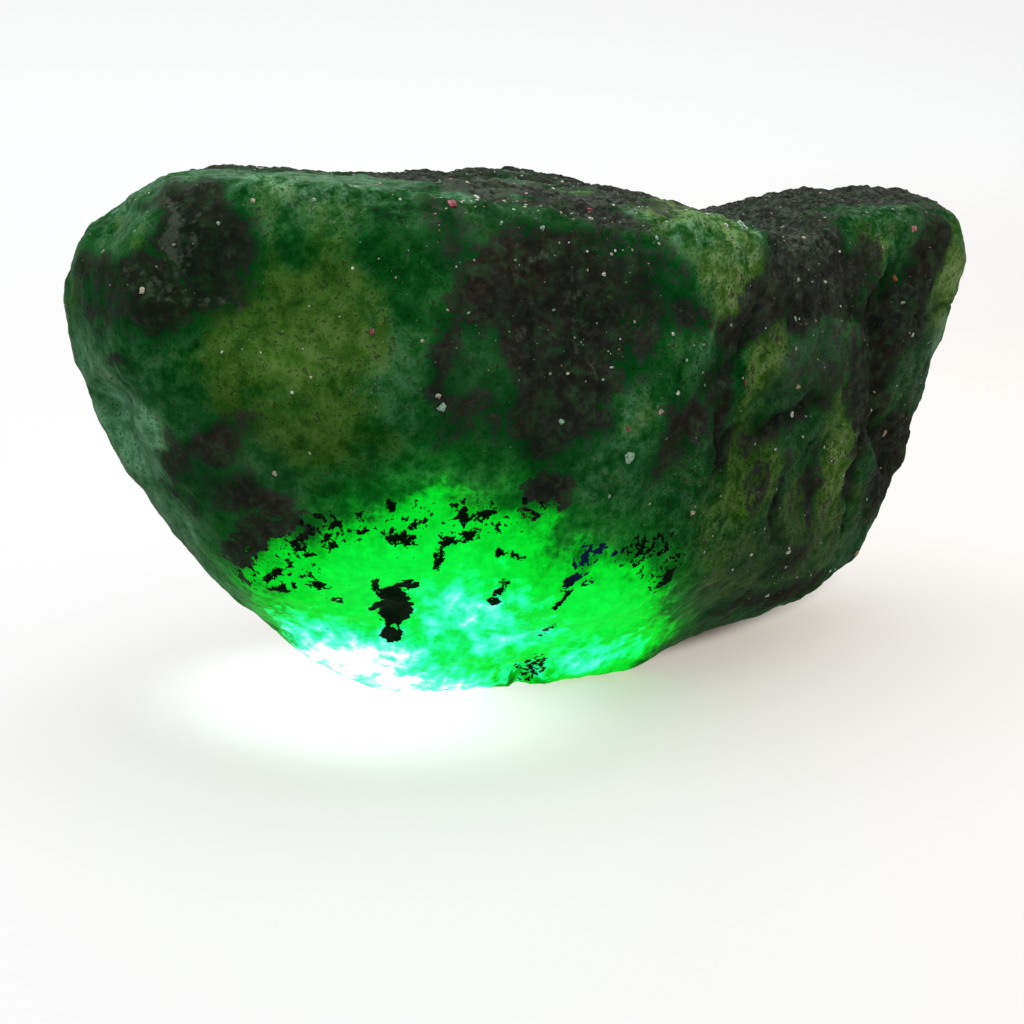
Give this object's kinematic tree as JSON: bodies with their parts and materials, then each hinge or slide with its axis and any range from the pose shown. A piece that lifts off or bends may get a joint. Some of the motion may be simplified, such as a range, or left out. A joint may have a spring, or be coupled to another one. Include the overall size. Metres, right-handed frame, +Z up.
{
  "type": "raw emerald crystal",
  "caption": "Rough lump of green beryl with dark mica schist, a broad flat-topped wedge that narrows to its base, with a low saddle and a ribbed end. It rests on a small flat underside.",
  "frame": {"origin": "the middle of the stone's length and depth, on the flat underside that it rests on", "axes": "+X runs along the stone's length toward its ribbed end, -Y is its broad front face, +Z is up"},
  "size_m": [0.0684, 0.0334, 0.0363],
  "materials": {
    "green_stone": "rough broken green beryl mixed with near-black mica schist, with a dull waxy shine"
  },
  "bodies": {
    "root": {"raw_emerald": "green_stone"}
  },
  "joints": []
}
